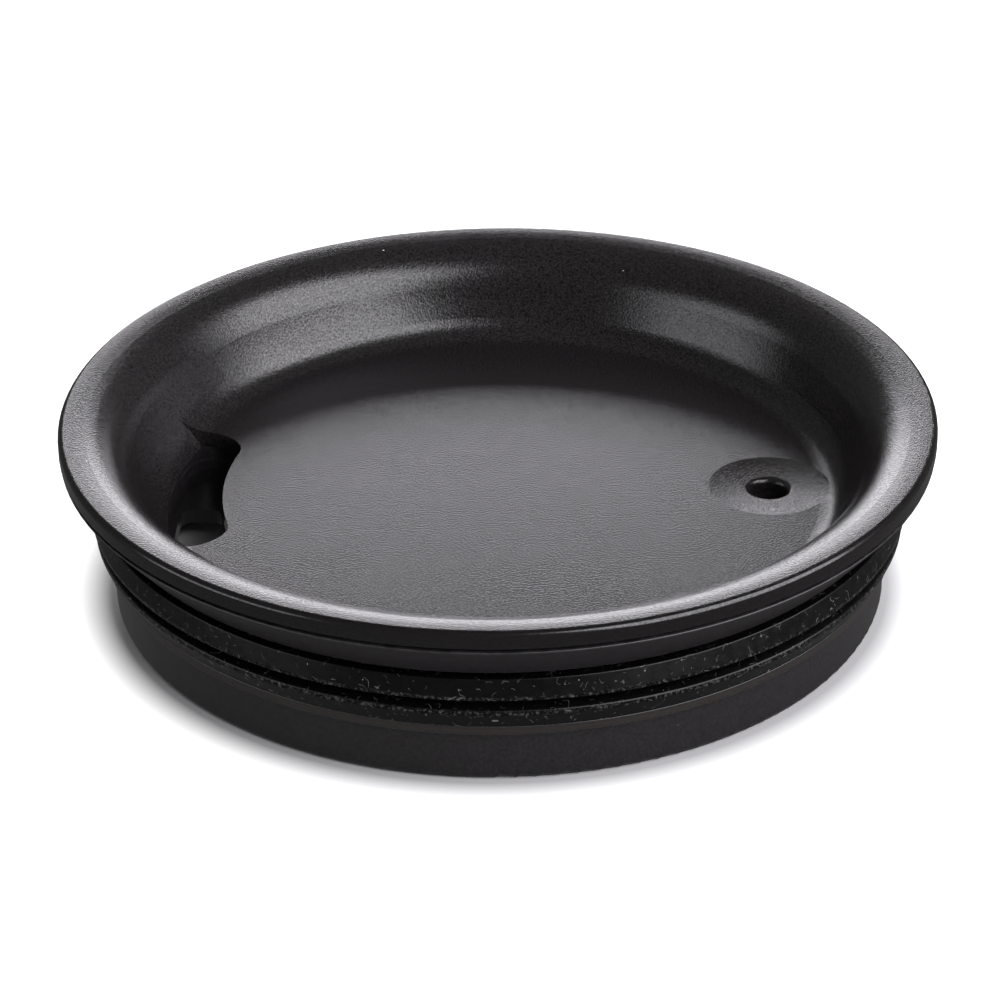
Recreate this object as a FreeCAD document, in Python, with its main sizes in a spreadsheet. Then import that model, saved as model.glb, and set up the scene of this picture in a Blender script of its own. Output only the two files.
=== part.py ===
"""Press-in lid for an insulated drinks tumbler: a dish welded to a lower shell, and a silicone gasket.

Frame: millimetres, +Z up, origin at the centre of the plane that the skirt stands on.
The sip opening is on the -X side and the vent hole is on the +X side.
"""
import FreeCAD, Part
import math
import os
import Sketcher
from FreeCAD import Vector

# Driving dimensions. A radius is measured from the lid's axis, and a height from the plane that the
# lid stands on, unless the comment says otherwise.
SIZES = {
    # Dish: rim, shoulder and wall
    "rim_radius": 46.0,
    "rim_height": 19.6,
    "rim_round": 0.6,
    "rim_bottom": 17.8,
    "crease_radius": 45.63,
    "crease_height": 19.554,
    "crest_radius": 45.4,
    "crest_round": 10.64,
    "shoulder_radius": 43.2,
    "shoulder_height": 19.37,
    "shoulder_round": 6.1,
    "wall_top_radius": 38.7,
    "wall_top_height": 15.4,
    "wall_round": 32.57,
    "wall_foot_radius": 36.26,
    "wall_bottom_radius": 35.16,
    "foot_round": 3.5,
    # Dish: floor and hidden side
    "floor_top": 10.0,
    "floor_bottom": 8.2,
    "skin_foot_radius": 37.14,
    "skin_top_radius": 39.92,
    "skin_top_height": 14.54,
    "skin_round": 6.0,
    "rib_inner_radius": 43.4,
    "rib_outer_radius": 44.4,
    "rib_top": 17.75,
    "weld_height": 16.4,
    "floor_overlap": 0.34,
    "edge_round": 0.12,
    # Sip opening, in plan: its end rounds are placed by their centres, and its outer side is the wall
    "sip_inner_radius": 29.3,
    "sip_end_round": 5.1,
    "sip_end_along": 33.0,
    "sip_end_across": 7.7,
    "sip_corner_round": 2.5,
    # Vent hole and the dimple around it; these radii are measured from the hole's own axis
    "vent_along": 28.8,
    "vent_bore_radius": 1.95,
    "vent_mouth_radius": 2.6,
    "vent_mouth_height": 9.71,
    "vent_mouth_round": 0.65,
    "vent_throat_height": 9.06,
    "dimple_radius": 6.4,
    "dimple_round": 58.7,
    # Lower shell: conical band, gasket groove, bead and skirt
    "band_top_radius": 46.05,
    "band_top_height": 17.4,
    "band_seat_radius": 44.5,
    "band_inner_radius": 43.3,
    "band_foot_radius": 42.2,
    "groove_top": 12.93,
    "groove_radius": 40.6,
    "groove_bottom": 6.63,
    "bead_radius": 41.8,
    "bead_bottom": 5.63,
    "skirt_radius": 41.05,
    "skirt_round": 0.65,
    "foot_inner_radius": 38.9,
    "neck_inner_radius": 39.3,
    "neck_inner_top": 11.6,
    "plate_bottom": 2.0,
    "plate_top": 3.6,
    # Lower shell: sip well with its outlet, and vent tube
    "well_gap": 0.3,
    "well_outer_radius": 35.8,
    "tube_wall": 1.2,
    "outlet_inner": 30.1,
    "outlet_outer": 34.9,
    "outlet_half_length": 6.6,
    "outlet_round": 1.5,
    # Gasket: a base ring with two lips
    "gasket_inner_radius": 40.65,
    "gasket_top": 12.45,
    "gasket_bottom": 6.68,
    "gasket_edge_radius": 42.6,
    "upper_lip_radius": 43.1,
    "upper_lip_top": 10.7,
    "upper_lip_bottom": 10.3,
    "valley_radius": 41.4,
    "valley_top": 10.0,
    "valley_bottom": 9.5,
    "lower_lip_radius": 42.8,
    "lower_lip_top": 8.95,
    "lower_lip_bottom": 8.45,
    "gasket_foot_radius": 41.85,
    "gasket_edge_round": 0.15,
}

MARGIN = 1.0
TOLERANCE = 1e-4
FOOT_SLACK = 0.01


def make_sheet(doc):
    """Put the driving dimensions in a spreadsheet, each with its own alias."""
    sheet = doc.addObject("Spreadsheet::Sheet", "sizes")
    for row, (name, value) in enumerate(SIZES.items(), start=1):
        sheet.set(f"A{row}", name)
        sheet.set(f"B{row}", str(value))
        sheet.setAlias(f"B{row}", name)
    doc.recompute()
    return sheet


def make_body(doc, label):
    """Start a sub-part whose label is its node's name."""
    body = doc.addObject("PartDesign::Body", label)
    body.Label = label
    body.Placement = FreeCAD.Placement()
    return body


def make_sketch(body, name, role, height=None):
    """Attach a sketch to one of the body's own planes, raised to a height given as an expression."""
    plane = next(item for item in body.Origin.OriginFeatures if item.Role == role)
    sketch = body.newObject("Sketcher::SketchObject", name)
    sketch.AttachmentSupport = [(plane, "")]
    sketch.MapMode = "FlatFace"
    if height:
        sketch.setExpression("AttachmentOffset.Base.z", height)
    return sketch


def bind(sketch, constraint, expression):
    """Add a dimensional constraint and tie it to the sheet."""
    index = sketch.addConstraint(constraint)
    sketch.setExpression(f"Constraints[{index}]", expression)


def place_point(sketch, geometry, end, across, up):
    """Fix a point of the sketch at two expressions; "0" puts it on the axis itself."""
    if across == "0":
        sketch.addConstraint(Sketcher.Constraint("PointOnObject", geometry, end, -2))
    else:
        distance = float(sketch.evalExpression(across))
        bind(sketch, Sketcher.Constraint("DistanceX", -1, 1, geometry, end, distance), across)
    if up == "0":
        sketch.addConstraint(Sketcher.Constraint("PointOnObject", geometry, end, -1))
    else:
        distance = float(sketch.evalExpression(up))
        bind(sketch, Sketcher.Constraint("DistanceY", -1, 1, geometry, end, distance), up)


def arc_between(start, finish, radius):
    """Return the short arc from start to finish; it turns left for a radius above zero."""
    chord = finish - start
    height = math.sqrt(radius * radius - chord.Length ** 2 / 4)
    left = Vector(-chord.y, chord.x, 0).normalize()
    centre = start + chord * 0.5 + left * math.copysign(height, radius)
    first, last = (start, finish) if radius > 0 else (finish, start)
    angles = [math.atan2(point.y - centre.y, point.x - centre.x) for point in (first, last)]
    circle = Part.Circle(centre, Vector(0, 0, 1), abs(radius))
    return Part.ArcOfCircle(circle, angles[0], angles[1])


def draw_outline(sketch, steps):
    """Draw a closed outline through steps, each (across, up) or (across, up, radius, turn).

    The last two make the stretch that arrives at that point an arc: its radius, and +1 where it turns
    left or -1 where it turns right.
    """
    points = [Vector(*(float(sketch.evalExpression(text)) for text in step[:2]), 0) for step in steps]
    ends = []
    for index, step in enumerate(steps):
        start, finish = points[index - 1], points[index]
        if len(step) == 2:
            geometry = sketch.addGeometry(Part.LineSegment(start, finish))
            ends.append((geometry, 1, 2))
        else:
            radius, turn = float(sketch.evalExpression(step[2])), step[3]
            geometry = sketch.addGeometry(arc_between(start, finish, radius * turn))
            bind(sketch, Sketcher.Constraint("Radius", geometry, radius), step[2])
            ends.append((geometry, 1, 2) if turn > 0 else (geometry, 2, 1))
    for index, step in enumerate(steps):
        before, after = ends[index], ends[(index + 1) % len(steps)]
        sketch.addConstraint(Sketcher.Constraint("Coincident", before[0], before[2], after[0], after[1]))
        place_point(sketch, before[0], before[2], step[0], step[1])


def draw_circle(sketch, along, radius):
    """Draw a circle on the sketch's horizontal axis."""
    centre = Vector(float(sketch.evalExpression(along)), 0, 0)
    size = float(sketch.evalExpression(radius))
    geometry = sketch.addGeometry(Part.Circle(centre, Vector(0, 0, 1), size))
    place_point(sketch, geometry, 3, along, "0")
    bind(sketch, Sketcher.Constraint("Radius", geometry, size), radius)


def draw_sip_outline(sketch, outer_text, growth, around=False):
    """Draw the sip opening's outline, larger all round by an expression.

    Two arcs run round the lid's axis, and a round end joins them on each side. With around, the outer
    arc goes the long way, so that the outline is a disc with the opening cut out of its edge.
    """
    inner_text = f"sizes.sip_inner_radius - ({growth})"
    end_text = f"sizes.sip_end_round + ({growth})"
    inner, outer, end = (float(sketch.evalExpression(text)) for text in (inner_text, outer_text, end_text))
    along, across = (SIZES[name] for name in ("sip_end_along", "sip_end_across"))
    reach = math.hypot(along, across)
    heading = math.pi - math.atan2(across, along)

    def crossing(radius):
        """Angle at which the end round meets the arc of this radius."""
        return heading - math.acos((radius ** 2 + reach ** 2 - end ** 2) / (2 * radius * reach))

    up, origin = Vector(0, 0, 1), Vector(0, 0, 0)
    inner_angle, outer_angle = crossing(inner), crossing(outer)
    outer_span = (-outer_angle, outer_angle) if around else (outer_angle, 2 * math.pi - outer_angle)
    inner_arc = sketch.addGeometry(
        Part.ArcOfCircle(Part.Circle(origin, up, inner), inner_angle, 2 * math.pi - inner_angle))
    outer_arc = sketch.addGeometry(Part.ArcOfCircle(Part.Circle(origin, up, outer), *outer_span))
    for arc, radius, text in ((inner_arc, inner, inner_text), (outer_arc, outer, outer_text)):
        sketch.addConstraint(Sketcher.Constraint("Coincident", arc, 3, -1, 1))
        bind(sketch, Sketcher.Constraint("Radius", arc, radius), text)

    for side, sign in ((1, ""), (-1, "-")):
        centre = Vector(-along, side * across, 0)
        near, far = (
            Vector(radius * math.cos(angle), side * radius * math.sin(angle), 0)
            for radius, angle in ((inner, inner_angle), (outer, outer_angle)))
        angles = [math.atan2(point.y - centre.y, point.x - centre.x) for point in (near, far)]
        round_end = sketch.addGeometry(Part.ArcOfCircle(Part.Circle(centre, up, end), *angles[::side]))
        place_point(sketch, round_end, 3, "-sizes.sip_end_along", f"{sign}sizes.sip_end_across")
        bind(sketch, Sketcher.Constraint("Radius", round_end, end), end_text)
        first, last = (1, 2)[::side]
        outer_end = last if around else first
        sketch.addConstraint(Sketcher.Constraint("Coincident", round_end, first, inner_arc, first))
        sketch.addConstraint(Sketcher.Constraint("Coincident", round_end, last, outer_arc, outer_end))


def revolve(body, name, kind, sketch, axis="V_Axis"):
    """Turn a sketch all the way round, as a Revolution or a Groove."""
    feature = body.newObject(f"PartDesign::{kind}", name)
    feature.Profile = sketch
    feature.ReferenceAxis = (sketch, [axis])
    feature.Angle = 360.0
    return feature


def extrude(body, name, kind, sketch, length):
    """Pad a sketch upwards, or cut a pocket downwards, by an expression."""
    feature = body.newObject(f"PartDesign::{kind}", name)
    feature.Profile = sketch
    feature.setExpression("Length", length)
    return feature


def round_edges(body, name, base, choose, radius):
    """Round the edges of a feature that a test picks out."""
    body.Document.recompute()
    names = [f"Edge{number}" for number, edge in enumerate(base.Shape.Edges, start=1) if choose(edge)]
    if not names:
        raise RuntimeError(f"{name} finds no edge to round")
    fillet = body.newObject("PartDesign::Fillet", name)
    fillet.Base = (base, names)
    fillet.setExpression("Radius", radius)
    return fillet


def is_ring(edge, radius, height, slack=TOLERANCE):
    """True for a circular edge round the lid's axis at this height, and at this radius give or take."""
    vertex = edge.Vertexes[0].Point
    level = edge.BoundBox.ZLength < TOLERANCE and abs(vertex.z - height) < TOLERANCE
    return level and abs(math.hypot(vertex.x, vertex.y) - radius) < slack


def is_upright(edge):
    """True for a vertical straight edge on the sip opening's side of the lid."""
    box = edge.BoundBox
    straight = box.XLength < TOLERANCE and box.YLength < TOLERANCE
    return straight and edge.Vertexes[0].X < 0


def make_dish(doc):
    """Upper moulding: rim, shoulder, sloping wall and floor, with the sip opening and the vent."""
    body = make_body(doc, "dish")
    profile = make_sketch(body, "dish_profile", "XZ_Plane")
    draw_outline(profile, [
        ("sizes.wall_bottom_radius", "sizes.floor_bottom", "sizes.wall_round", -1),
        ("sizes.skin_foot_radius", "sizes.floor_bottom"),
        ("sizes.skin_top_radius", "sizes.skin_top_height"),
        ("sizes.rib_inner_radius", "sizes.rib_top", "sizes.skin_round", -1),
        ("sizes.rib_inner_radius", "sizes.weld_height"),
        ("sizes.rib_outer_radius", "sizes.weld_height"),
        ("sizes.rib_outer_radius", "sizes.rim_bottom"),
        ("sizes.rim_radius", "sizes.rim_bottom"),
        ("sizes.rim_radius", "sizes.rim_height - sizes.rim_round"),
        ("sizes.crease_radius", "sizes.crease_height", "sizes.rim_round", 1),
        ("sizes.crest_radius", "sizes.rim_height", "sizes.rim_round", 1),
        ("sizes.shoulder_radius", "sizes.shoulder_height", "sizes.crest_round", 1),
        ("sizes.wall_top_radius", "sizes.wall_top_height", "sizes.shoulder_round", 1),
    ])
    revolve(body, "dish_ring", "Revolution", profile)

    plan = make_sketch(body, "floor_plan", "XY_Plane", "sizes.floor_bottom")
    draw_sip_outline(plan, "sizes.wall_foot_radius + sizes.floor_overlap", "0", around=True)
    dish_floor = extrude(body, "dish_floor", "Pad", plan, "sizes.floor_top - sizes.floor_bottom")
    corners = round_edges(body, "sip_corners", dish_floor, is_upright, "sizes.sip_corner_round")
    coved = round_edges(
        body, "wall_foot", corners,
        lambda edge: is_ring(edge, SIZES["wall_foot_radius"], SIZES["floor_top"], FOOT_SLACK),
        "sizes.foot_round")
    round_edges(
        body, "rim_edge", coved,
        lambda edge: is_ring(edge, SIZES["rim_radius"], SIZES["rim_bottom"]), "sizes.edge_round")

    vent = make_sketch(body, "vent_profile", "XZ_Plane")
    draw_outline(vent, [
        ("sizes.vent_along", f"sizes.floor_bottom - {MARGIN}"),
        ("sizes.vent_along + sizes.vent_bore_radius", f"sizes.floor_bottom - {MARGIN}"),
        ("sizes.vent_along + sizes.vent_bore_radius", "sizes.vent_throat_height"),
        ("sizes.vent_along + sizes.vent_mouth_radius", "sizes.vent_mouth_height",
         "sizes.vent_mouth_round", -1),
        ("sizes.vent_along + sizes.dimple_radius", "sizes.floor_top", "sizes.dimple_round", 1),
        ("sizes.vent_along + sizes.dimple_radius", f"sizes.floor_top + {MARGIN}"),
        ("sizes.vent_along", f"sizes.floor_top + {MARGIN}"),
    ])
    axis = vent.addGeometry(Part.LineSegment(Vector(1, 0, 0), Vector(1, 1, 0)), True)
    place_point(vent, axis, 1, "sizes.vent_along", "0")
    place_point(vent, axis, 2, "sizes.vent_along", "sizes.floor_top")
    revolve(body, "vent", "Groove", vent, "Axis0")
    return body


def make_lower_shell(doc):
    """Lower moulding: conical band, gasket groove, bead, skirt and base, with the well and vent tube."""
    body = make_body(doc, "lower_shell")
    profile = make_sketch(body, "shell_profile", "XZ_Plane")
    draw_outline(profile, [
        ("0", "sizes.plate_bottom"),
        ("sizes.foot_inner_radius", "sizes.plate_bottom"),
        ("sizes.foot_inner_radius", "0"),
        ("sizes.skirt_radius - sizes.skirt_round", "0"),
        ("sizes.skirt_radius", "sizes.skirt_round", "sizes.skirt_round", 1),
        ("sizes.skirt_radius", "sizes.bead_bottom"),
        ("sizes.bead_radius", "sizes.bead_bottom"),
        ("sizes.bead_radius", "sizes.groove_bottom"),
        ("sizes.groove_radius", "sizes.groove_bottom"),
        ("sizes.groove_radius", "sizes.groove_top"),
        ("sizes.band_foot_radius", "sizes.groove_top"),
        ("sizes.band_top_radius", "sizes.band_top_height"),
        ("sizes.band_seat_radius", "sizes.band_top_height"),
        ("sizes.band_seat_radius", "sizes.weld_height"),
        ("sizes.band_inner_radius", "sizes.weld_height"),
        ("sizes.neck_inner_radius", "sizes.neck_inner_top"),
        ("sizes.neck_inner_radius", "sizes.plate_top"),
        ("0", "sizes.plate_top"),
    ])
    turned = revolve(body, "shell_turned", "Revolution", profile)
    edges = [
        (SIZES["band_top_radius"], SIZES["band_top_height"]),
        (SIZES["band_foot_radius"], SIZES["groove_top"]),
        (SIZES["bead_radius"], SIZES["groove_bottom"]),
        (SIZES["bead_radius"], SIZES["bead_bottom"]),
    ]
    round_edges(
        body, "shell_edges", turned,
        lambda edge: any(is_ring(edge, radius, height) for radius, height in edges),
        "sizes.edge_round")

    tube_height = "sizes.floor_bottom - sizes.plate_bottom"
    well_outside = make_sketch(body, "well_outside", "XY_Plane", "sizes.plate_bottom")
    draw_sip_outline(
        well_outside, "sizes.well_outer_radius + sizes.tube_wall", "sizes.well_gap + sizes.tube_wall")
    extrude(body, "well_tube", "Pad", well_outside, tube_height)
    well_inside = make_sketch(body, "well_inside", "XY_Plane", "sizes.floor_bottom")
    draw_sip_outline(well_inside, "sizes.well_outer_radius", "sizes.well_gap")
    well = extrude(body, "well", "Pocket", well_inside, "sizes.floor_bottom - sizes.plate_top")
    round_edges(
        body, "well_corners", well, is_upright, "sizes.sip_corner_round")

    outlet_plan = make_sketch(body, "outlet_plan", "XY_Plane", "sizes.plate_top")
    draw_outline(outlet_plan, [
        ("-sizes.outlet_inner", "-sizes.outlet_half_length"),
        ("-sizes.outlet_inner", "sizes.outlet_half_length"),
        ("-sizes.outlet_outer", "sizes.outlet_half_length"),
        ("-sizes.outlet_outer", "-sizes.outlet_half_length"),
    ])
    outlet = extrude(
        body, "outlet", "Pocket", outlet_plan, f"sizes.plate_top - sizes.plate_bottom + {MARGIN}")
    round_edges(
        body, "outlet_corners", outlet,
        lambda edge: is_upright(edge) and edge.BoundBox.ZMax < SIZES["plate_top"] + TOLERANCE,
        "sizes.outlet_round")

    tube_plan = make_sketch(body, "vent_tube_plan", "XY_Plane", "sizes.plate_bottom")
    draw_circle(tube_plan, "sizes.vent_along", "sizes.vent_bore_radius + sizes.tube_wall")
    extrude(body, "vent_tube", "Pad", tube_plan, tube_height)
    bore_plan = make_sketch(body, "vent_bore_plan", "XY_Plane", "sizes.floor_bottom")
    draw_circle(bore_plan, "sizes.vent_along", "sizes.vent_bore_radius")
    extrude(body, "vent_bore", "Pocket", bore_plan, f"{tube_height} + {MARGIN}")
    return body


def make_gasket(doc):
    """Silicone ring in the groove, with two lips that press on the inside of the cup."""
    body = make_body(doc, "gasket")
    profile = make_sketch(body, "gasket_profile", "XZ_Plane")
    draw_outline(profile, [
        ("sizes.gasket_inner_radius", "sizes.gasket_bottom"),
        ("sizes.gasket_foot_radius", "sizes.gasket_bottom"),
        ("sizes.lower_lip_radius", "sizes.lower_lip_bottom"),
        ("sizes.lower_lip_radius", "sizes.lower_lip_top"),
        ("sizes.valley_radius", "sizes.valley_bottom"),
        ("sizes.valley_radius", "sizes.valley_top"),
        ("sizes.upper_lip_radius", "sizes.upper_lip_bottom"),
        ("sizes.upper_lip_radius", "sizes.upper_lip_top"),
        ("sizes.gasket_edge_radius", "sizes.gasket_top"),
        ("sizes.gasket_inner_radius", "sizes.gasket_top"),
    ])
    turned = revolve(body, "gasket_turned", "Revolution", profile)
    lips = [
        (SIZES["lower_lip_radius"], SIZES["lower_lip_bottom"]),
        (SIZES["lower_lip_radius"], SIZES["lower_lip_top"]),
        (SIZES["upper_lip_radius"], SIZES["upper_lip_bottom"]),
        (SIZES["upper_lip_radius"], SIZES["upper_lip_top"]),
        (SIZES["gasket_edge_radius"], SIZES["gasket_top"]),
    ]
    round_edges(
        body, "gasket_edges", turned,
        lambda edge: any(is_ring(edge, radius, height) for radius, height in lips),
        "sizes.gasket_edge_round")
    return body


def check(doc, bodies):
    """Stop if any object failed to build or a sub-part isn't one valid solid."""
    doc.recompute()
    for item in doc.Objects:
        failed = {"Invalid", "Error"} & set(item.State)
        if failed:
            raise RuntimeError(f"{item.Label} is {failed}")
    for body in bodies:
        shape = body.Shape
        if shape.isNull() or not shape.isValid() or len(shape.Solids) != 1:
            raise RuntimeError(f"{body.Label} isn't one valid solid")
        print(body.Label, "volume", round(shape.Volume, 1), "box", shape.BoundBox)


def main():
    """Build the lid and write each sub-part to its own file."""
    doc = FreeCAD.newDocument("tumbler_lid")
    make_sheet(doc)
    bodies = [make_dish(doc), make_lower_shell(doc), make_gasket(doc)]
    check(doc, bodies)
    os.makedirs("parts", exist_ok=True)
    for body in bodies:
        body.Shape.exportStep(f"parts/{body.Label}.step")


main()
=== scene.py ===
"""Studio scene for the press-in tumbler lid: materials on the CAD nodes, floor, lights and camera.

Everything is in metres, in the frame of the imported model: +Z up, the sip opening on the -X side.
"""
import math

import bpy
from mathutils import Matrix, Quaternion, Vector

MM = 0.001

# Places on the lid that the materials need
CREASE_RADIUS = 45.63 * MM
CREST_HEIGHT = 19.6 * MM
SKIRT_RADIUS = 41.05 * MM
SKIRT_BOTTOM = 0.3 * MM
BEAD_BOTTOM = 5.63 * MM
BEAD_TOP = 6.63 * MM
BAND_BOTTOM = 12.93 * MM
BAND_TOP = 17.4 * MM
UPPER_LIP = 10.5 * MM
LOWER_LIP = 8.7 * MM

# Input ranges for remap: a noise stays near its middle, so these stretch it
SHARP_NOISE = (0.3, 0.7)
SOFT_NOISE = (0.35, 0.65)
PATCHY_NOISE = (0.45, 0.7)

# Dish: moulded grain, the crease round the rim with painted shade in it, worn crest
GRAIN_SIZE = 0.2 * MM
GRAIN_DEPTH = 0.032 * MM
GRAIN_EDGE = 0.1 * MM
GRAIN_GLINT = (0.3, 0.7)
GRAIN_COLOURS = ((0.001, 0.0008, 0.0009), (0.021, 0.0185, 0.0195))
CREASE_HALF_WIDTH = 0.12 * MM
CREASE_DEPTH = 0.03 * MM
# Painted shade: the crease line is coloured nearly black, as if in shadow
CREASE_SHADE_COLOUR = (0.001, 0.001, 0.001)
WORN_HEIGHT = 0.5 * MM
WORN_PATCH = 4 * MM
WORN_COLOUR = (0.03, 0.028, 0.029)
SMOOTH_COLOUR = (0.005, 0.0043, 0.0046)
DISH_DUST_COLOUR = (0.55, 0.55, 0.56)
DISH_ROUGHNESS = (0.19, 0.21)

# Lower shell: satin plastic with lighter edges, partly rubbed wear and partly painted highlight
SHELL_COLOURS = ((0.008, 0.0072, 0.008), (0.015, 0.0135, 0.0145))
SHELL_ROUGHNESS = (0.30, 0.34)
# Lighter edge colour: partly rubbed wear, partly painted highlight
RUBBED_AND_HIGHLIGHT_COLOUR = (0.045, 0.043, 0.044)
BEAD_COLOUR = (0.022, 0.017, 0.014)
SHELL_DUST_COLOUR = (0.16, 0.15, 0.15)

# Gasket: silicone with lint and dots, and lighter lip edges that are partly powder and partly
# painted highlight
SILICONE_COLOURS = ((0.001, 0.001, 0.0011), (0.0025, 0.0024, 0.0026))
SILICONE_ROUGHNESS = (0.26, 0.32)
SILICONE_SPECULAR = 0.25
# Lighter lip-edge colour: partly powder, partly painted highlight
POWDER_AND_HIGHLIGHT_COLOUR = (0.12, 0.12, 0.123)
LINT_COLOUR = (0.1, 0.094, 0.094)
DOT_COLOUR = (0.4, 0.39, 0.37)

# Studio: the floor's glow starts beside the skirt and is full a few millimetres out
SHADOW_RADIUS = 41.6 * MM
GLOW_RADIUS = 46 * MM
FLOOR_GLOW = 1.1
FLOOR_GREY = 0.5
FILL_STRENGTH = 0.13
LIGHT_DISTANCE = 2.0
STUDIO_TINT = (0.975, 0.955, 1.0)


def new_material(name):
    """Make a plain node material and return it with its shader."""
    material = bpy.data.materials.new(name)
    material.use_nodes = True
    return material, material.node_tree.nodes["Principled BSDF"]


def add_node(material, kind, **inputs):
    """Add a node and set its unlinked inputs by name, with spaces written as underscores."""
    node = material.node_tree.nodes.new(kind)
    for name, value in inputs.items():
        node.inputs[name.replace("_", " ")].default_value = value
    return node


def link(material, source, target):
    """Join an output socket to an input socket."""
    material.node_tree.links.new(source, target)


def coordinates(material):
    """Object coordinates, which are the model's own metres."""
    return add_node(material, "ShaderNodeTexCoord").outputs["Object"]


def noise(material, size, detail=2.0, roughness=0.5):
    """Noise whose blobs are about this size, as an output from 0 to 1."""
    node = add_node(
        material, "ShaderNodeTexNoise", Scale=1 / size, Detail=detail, Roughness=roughness)
    link(material, coordinates(material), node.inputs["Vector"])
    return node.outputs["Fac"]


def remap(material, value, low, high, to_low, to_high):
    """Stretch a value from one range to another, clamped."""
    node = add_node(material, "ShaderNodeMapRange")
    for socket, number in zip(node.inputs[1:5], (low, high, to_low, to_high)):
        socket.default_value = number
    link(material, value, node.inputs["Value"])
    return node.outputs["Result"]


def bump(material, height, depth, normal=None):
    """Turn a height from 0 to 1 into a normal, with its full depth in metres."""
    node = add_node(material, "ShaderNodeBump", Strength=1.0, Distance=depth)
    link(material, height, node.inputs["Height"])
    if normal:
        link(material, normal, node.inputs["Normal"])
    return node.outputs["Normal"]


def colour_between(material, factor, first, second):
    """Blend two colours by a factor; each colour is three numbers or another node's output."""
    node = material.node_tree.nodes.new("ShaderNodeMix")
    node.data_type = "RGBA"
    sockets = [socket for socket in node.inputs if socket.type == "RGBA"]
    for socket, colour in zip(sockets, (first, second)):
        if isinstance(colour, tuple):
            socket.default_value = (*colour, 1)
        else:
            link(material, colour, socket)
    link(material, factor, node.inputs["Factor"])
    return next(socket for socket in node.outputs if socket.type == "RGBA")


def radius_from_axis(material):
    """Distance from the lid's axis, in metres."""
    flat = material.node_tree.nodes.new("ShaderNodeVectorMath")
    flat.operation = "MULTIPLY"
    flat.inputs[1].default_value = (1, 1, 0)
    link(material, coordinates(material), flat.inputs[0])
    length = material.node_tree.nodes.new("ShaderNodeVectorMath")
    length.operation = "LENGTH"
    link(material, flat.outputs["Vector"], length.inputs[0])
    return length.outputs["Value"]


def height_above_floor(material):
    """Height in the model, in metres."""
    node = material.node_tree.nodes.new("ShaderNodeSeparateXYZ")
    link(material, coordinates(material), node.inputs["Vector"])
    return node.outputs["Z"]


def combine(material, operation, *values):
    """Chain a math operation over outputs or numbers."""
    result = values[0]
    for value in values[1:]:
        node = material.node_tree.nodes.new("ShaderNodeMath")
        node.operation = operation
        for socket, item in zip(node.inputs, (result, value)):
            if isinstance(item, (int, float)):
                socket.default_value = item
            else:
                link(material, item, socket)
        result = node.outputs["Value"]
    return result


def distance_from(material, value, centre):
    """How far a value is from a number, without its sign."""
    node = material.node_tree.nodes.new("ShaderNodeMath")
    node.operation = "ABSOLUTE"
    link(material, combine(material, "SUBTRACT", value, centre), node.inputs["Value"])
    return node.outputs["Value"]


def ring(material, value, centre, half_width):
    """1 where the value is at the centre, falling to 0 at half a width on each side."""
    return remap(material, distance_from(material, value, centre), 0, half_width, 1, 0)


def specks(material, spacing, radius, share):
    """Sparse round dots: 1 inside a dot; the share is how many of the cells have one."""
    cells = add_node(material, "ShaderNodeTexVoronoi", Scale=1 / spacing)
    link(material, coordinates(material), cells.inputs["Vector"])
    edge = radius / spacing
    dot = remap(material, cells.outputs["Distance"], edge, 0.6 * edge, 0, 1)
    pick = material.node_tree.nodes.new("ShaderNodeSeparateColor")
    link(material, cells.outputs["Color"], pick.inputs["Color"])
    chosen = combine(material, "LESS_THAN", pick.outputs["Red"], share)
    return combine(material, "MULTIPLY", dot, chosen)


def fibres(material, size, width, patch, threshold):
    """Thin curved hairs: the level line of a noise, kept only where another is over a threshold."""
    hair = ring(material, noise(material, size, detail=0.0), 0.5, width / size)
    kept = combine(material, "GREATER_THAN", noise(material, patch, detail=0.0), threshold)
    return combine(material, "MULTIPLY", hair, kept)


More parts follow.
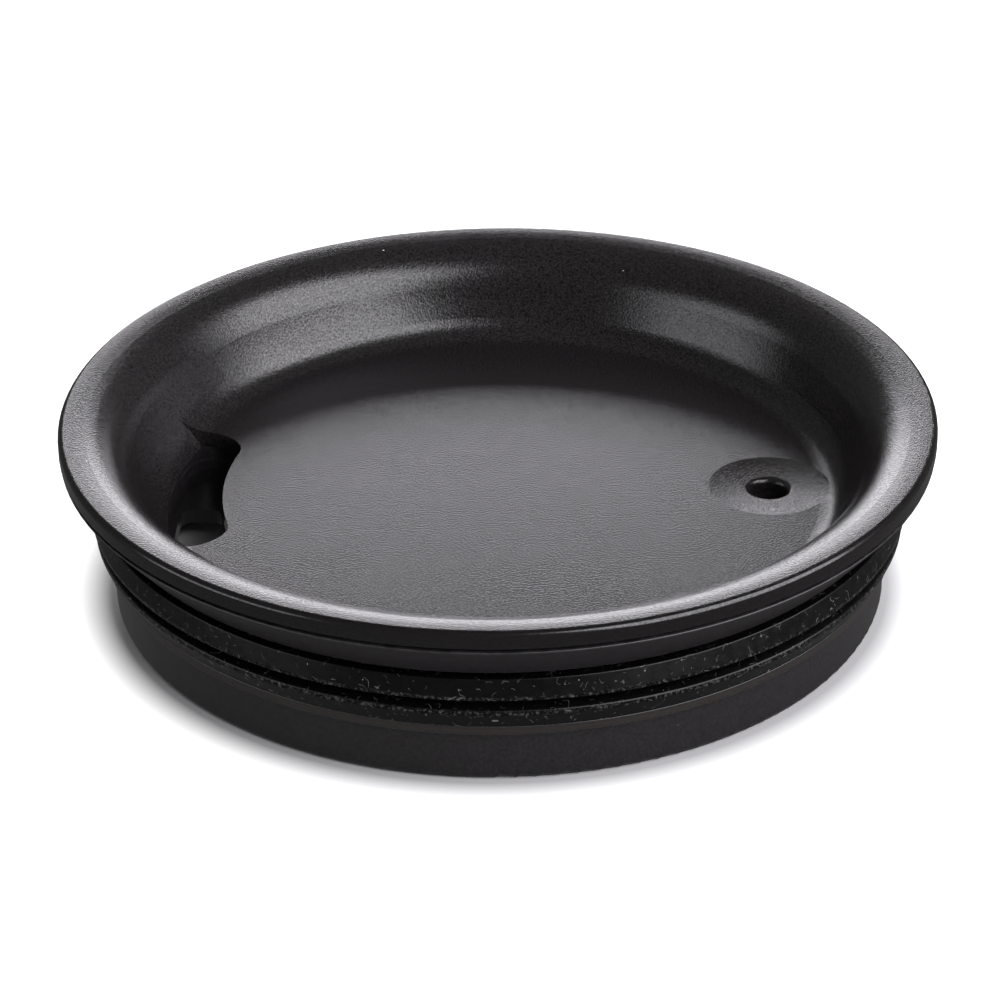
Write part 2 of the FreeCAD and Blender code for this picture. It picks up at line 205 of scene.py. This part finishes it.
def dish_material():
    """Black plastic with a fine moulded grain, smooth outside the crease round its rim, with a
    painted shade line along the crease.
    """
    material, shader = new_material("dish_plastic_look")
    radius, height = radius_from_axis(material), height_above_floor(material)
    grain = noise(material, GRAIN_SIZE, detail=1.5, roughness=0.6)
    grained = remap(material, radius, CREASE_RADIUS, CREASE_RADIUS + GRAIN_EDGE, 1, 0)
    smooth = combine(material, "SUBTRACT", 1.0, grained)
    # Crease mask: a groove in the bump, and painted shade in the colour
    crease = ring(material, radius, CREASE_RADIUS, CREASE_HALF_WIDTH)
    crest = remap(material, height, CREST_HEIGHT - WORN_HEIGHT, CREST_HEIGHT, 0, 1)
    patches = remap(material, noise(material, WORN_PATCH, detail=3.0), *PATCHY_NOISE, 0, 1)
    worn = combine(material, "MULTIPLY", crest, patches)
    dust = specks(material, spacing=7 * MM, radius=0.11 * MM, share=0.16)

    sharp = remap(material, grain, *SHARP_NOISE, 0, 1)
    half_worn = combine(material, "MULTIPLY", worn, 0.5)
    colour = colour_between(material, sharp, *GRAIN_COLOURS)
    colour = colour_between(material, half_worn, colour, WORN_COLOUR)
    colour = colour_between(material, smooth, colour, SMOOTH_COLOUR)
    # Painted shade: the crease is coloured nearly black
    colour = colour_between(material, crease, colour, CREASE_SHADE_COLOUR)
    colour = colour_between(material, dust, colour, DISH_DUST_COLOUR)
    link(material, colour, shader.inputs["Base Color"])

    rough = remap(material, noise(material, 5 * MM), *SOFT_NOISE, *DISH_ROUGHNESS)
    rough = combine(material, "ADD", rough, combine(material, "MULTIPLY", worn, -0.02))
    rough = combine(material, "ADD", rough, combine(material, "MULTIPLY", dust, 0.5))
    link(material, rough, shader.inputs["Roughness"])

    glint = remap(material, grain, *SHARP_NOISE, *GRAIN_GLINT)
    link(material, glint, shader.inputs["Specular IOR Level"])

    grain_normal = bump(material, combine(material, "MULTIPLY", grain, grained), GRAIN_DEPTH)
    crease_relief = combine(material, "SUBTRACT", 1.0, crease)
    normal = bump(material, crease_relief, CREASE_DEPTH, normal=grain_normal)
    link(material, normal, shader.inputs["Normal"])
    return material


def shell_material():
    """Satin black plastic, with lighter rings on the bead and on the edges of the band and skirt:
    partly wear, partly painted highlight.
    """
    material, shader = new_material("shell_plastic_look")
    radius, height = radius_from_axis(material), height_above_floor(material)
    mottle = noise(material, 2.0 * MM)
    fine = noise(material, 0.3 * MM, detail=1.5)
    edges = combine(
        material, "MAXIMUM",
        ring(material, height, SKIRT_BOTTOM, 0.35 * MM),
        ring(material, height, BEAD_BOTTOM, 0.16 * MM),
        ring(material, height, BEAD_TOP, 0.16 * MM),
        ring(material, height, BAND_BOTTOM, 0.2 * MM),
        ring(material, height, BAND_TOP, 0.2 * MM))
    patches = remap(material, noise(material, 1.2 * MM, detail=3.0), 0.4, 0.65, 0.2, 1)
    # Edge rings made lighter: partly wear, partly painted highlight
    rubbed_and_highlight = combine(material, "MULTIPLY", edges, patches)
    bead_height = ring(material, height, (BEAD_BOTTOM + BEAD_TOP) / 2, 0.55 * MM)
    outside_skirt = remap(material, radius, SKIRT_RADIUS + 0.2 * MM, SKIRT_RADIUS + 0.4 * MM, 0, 1)
    bead = combine(material, "MULTIPLY", bead_height, outside_skirt)
    dust = specks(material, spacing=2.2 * MM, radius=0.06 * MM, share=0.2)

    sharp = remap(material, fine, *SHARP_NOISE, 0, 1)
    rubbed_and_highlight_share = combine(material, "MULTIPLY", rubbed_and_highlight, 0.6)
    bead_share = combine(material, "MULTIPLY", bead, 0.6)
    colour = colour_between(material, sharp, *SHELL_COLOURS)
    # Painted highlight, partly wear, along the edge rings
    colour = colour_between(material, rubbed_and_highlight_share, colour, RUBBED_AND_HIGHLIGHT_COLOUR)
    colour = colour_between(material, bead_share, colour, BEAD_COLOUR)
    colour = colour_between(material, dust, colour, SHELL_DUST_COLOUR)
    link(material, colour, shader.inputs["Base Color"])

    rough = remap(material, mottle, *SOFT_NOISE, *SHELL_ROUGHNESS)
    rough = combine(material, "ADD", rough, combine(material, "MULTIPLY", rubbed_and_highlight, 0.1))
    link(material, rough, shader.inputs["Roughness"])
    link(material, bump(material, fine, 0.004 * MM), shader.inputs["Normal"])
    return material


def silicone_material():
    """Black silicone with scattered lint and dots, and lighter edges on its lips, partly powder and
    partly painted highlight.
    """
    material, shader = new_material("silicone_look")
    height = height_above_floor(material)
    mottle = noise(material, 1.0 * MM)
    lint = fibres(material, size=1.6 * MM, width=0.018 * MM, patch=1.1 * MM, threshold=0.64)
    hairs = fibres(material, size=0.9 * MM, width=0.014 * MM, patch=0.7 * MM, threshold=0.66)
    dots = combine(
        material, "MAXIMUM",
        specks(material, spacing=0.9 * MM, radius=0.06 * MM, share=0.10),
        specks(material, spacing=0.45 * MM, radius=0.03 * MM, share=0.16))
    lips = combine(
        material, "MAXIMUM",
        ring(material, height, UPPER_LIP, 0.3 * MM),
        ring(material, height, LOWER_LIP, 0.35 * MM))
    clumps = remap(material, noise(material, 0.35 * MM, detail=3.0, roughness=0.7), 0.5, 0.75, 0, 1)
    # Lip edges made lighter: partly powder, partly painted highlight
    powder_and_highlight = combine(material, "MULTIPLY", lips, clumps)

    powder_and_highlight_share = combine(material, "MULTIPLY", powder_and_highlight, 0.7)
    colour = colour_between(material, mottle, *SILICONE_COLOURS)
    # Painted highlight, partly powder, on the lip edges
    colour = colour_between(material, powder_and_highlight_share, colour, POWDER_AND_HIGHLIGHT_COLOUR)
    colour = colour_between(material, combine(material, "MAXIMUM", lint, hairs), colour, LINT_COLOUR)
    colour = colour_between(material, dots, colour, DOT_COLOUR)
    link(material, colour, shader.inputs["Base Color"])

    rough = remap(material, mottle, *SOFT_NOISE, *SILICONE_ROUGHNESS)
    rough = combine(material, "ADD", rough, combine(material, "MULTIPLY", powder_and_highlight, 0.3))
    link(material, rough, shader.inputs["Roughness"])
    link(material, bump(material, noise(material, 0.25 * MM), 0.005 * MM), shader.inputs["Normal"])
    shader.inputs["Specular IOR Level"].default_value = SILICONE_SPECULAR
    return material


def dress(node, material):
    """Give a CAD node its material."""
    for slot in node.material_slots:
        slot.material = material


def make_floor():
    """Pale table top that sweeps up behind the lid.

    It glows so that it stays white under soft lights. The glow fades out under and beside the lid,
    which makes the shadow there darker than the lights alone would. Glossy rays pass the floor, so
    the black lid reflects the dim room and not the table.
    """
    half_width, front, bend_start, bend, top = 3.0, -4.0, 1.6, 0.8, 3.0
    profile = [(front, 0.0), (bend_start, 0.0)]
    profile += [(bend_start + bend * math.sin(angle), bend - bend * math.cos(angle))
                for angle in (math.radians(step) for step in range(6, 91, 6))]
    profile.append((bend_start + bend, top))
    vertices = [(side * half_width, y, z) for y, z in profile for side in (-1, 1)]
    faces = [(2 * i, 2 * i + 1, 2 * i + 3, 2 * i + 2) for i in range(len(profile) - 1)]
    mesh = bpy.data.meshes.new("floor")
    mesh.from_pydata(vertices, [], faces)
    mesh.shade_smooth()
    floor = bpy.data.objects.new("floor", mesh)
    bpy.context.collection.objects.link(floor)
    material, shader = new_material("floor_white")
    shader.inputs["Base Color"].default_value = (FLOOR_GREY, FLOOR_GREY, FLOOR_GREY, 1)
    shader.inputs["Roughness"].default_value = 0.6
    shader.inputs["Emission Color"].default_value = (1, 1, 1, 1)
    glow = remap(material, radius_from_axis(material), SHADOW_RADIUS, GLOW_RADIUS, 0, FLOOR_GLOW)
    link(material, glow, shader.inputs["Emission Strength"])
    mesh.materials.append(material)
    floor.visible_glossy = False


def direction(azimuth, elevation):
    """Unit vector from the lid; azimuth 0 is in front and 90 on the right, both in degrees."""
    turn, lift = math.radians(azimuth), math.radians(elevation)
    flat = math.cos(lift)
    return Vector((math.sin(turn) * flat, -math.cos(turn) * flat, math.sin(lift)))


def make_light(name, azimuth, elevation, size, power):
    """Softbox that faces the lid."""
    light = bpy.data.lights.new(name, "AREA")
    light.shape = "RECTANGLE"
    light.size, light.size_y = size
    light.energy = power
    light.color = STUDIO_TINT
    lamp = bpy.data.objects.new(name, light)
    bpy.context.collection.objects.link(lamp)
    away = direction(azimuth, elevation)
    lamp.location = away * LIGHT_DISTANCE
    lamp.rotation_euler = away.to_track_quat("Z", "Y").to_euler()


def make_camera():
    """Long lens, 29 degrees above the table, turned and rolled slightly as in the photograph."""
    target, distance = Vector((0.16, 0, 8.37)) * MM, 354.4 * MM
    data = bpy.data.cameras.new("camera")
    data.lens = 119.57
    data.sensor_width = 36
    camera = bpy.data.objects.new("camera", data)
    bpy.context.collection.objects.link(camera)
    away = direction(azimuth=0.85, elevation=28.93)
    camera.location = target + away * distance
    roll = Quaternion((0, 0, 1), math.radians(-0.615))
    camera.rotation_euler = (away.to_track_quat("Z", "Y") @ roll).to_euler()
    bpy.context.scene.camera = camera


def make_world():
    """Dim even fill."""
    world = bpy.data.worlds.new("studio")
    world.use_nodes = True
    background = world.node_tree.nodes["Background"]
    background.inputs["Color"].default_value = (1, 1, 1, 1)
    background.inputs["Strength"].default_value = FILL_STRENGTH
    bpy.context.scene.world = world


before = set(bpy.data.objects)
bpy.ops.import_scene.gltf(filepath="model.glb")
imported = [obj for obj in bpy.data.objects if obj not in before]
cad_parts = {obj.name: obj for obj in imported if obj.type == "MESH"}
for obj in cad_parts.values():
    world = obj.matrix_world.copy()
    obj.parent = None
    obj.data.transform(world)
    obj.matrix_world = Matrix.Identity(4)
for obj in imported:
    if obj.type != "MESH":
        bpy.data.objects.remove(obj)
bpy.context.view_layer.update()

dress(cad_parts["dish"], dish_material())
dress(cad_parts["lower_shell"], shell_material())
dress(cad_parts["gasket"], silicone_material())

make_floor()
make_world()
make_light("back_softbox", azimuth=183.5, elevation=17, size=(0.80, 0.68), power=8)
make_light("back_low", azimuth=180, elevation=5, size=(1.2, 0.45), power=3)
make_light("right_softbox", azimuth=62, elevation=34, size=(2.5, 2.0), power=86)
make_light("left_softbox", azimuth=290, elevation=14, size=(1.6, 0.85), power=10)
make_camera()
bpy.context.scene.view_settings.view_transform = "Standard"
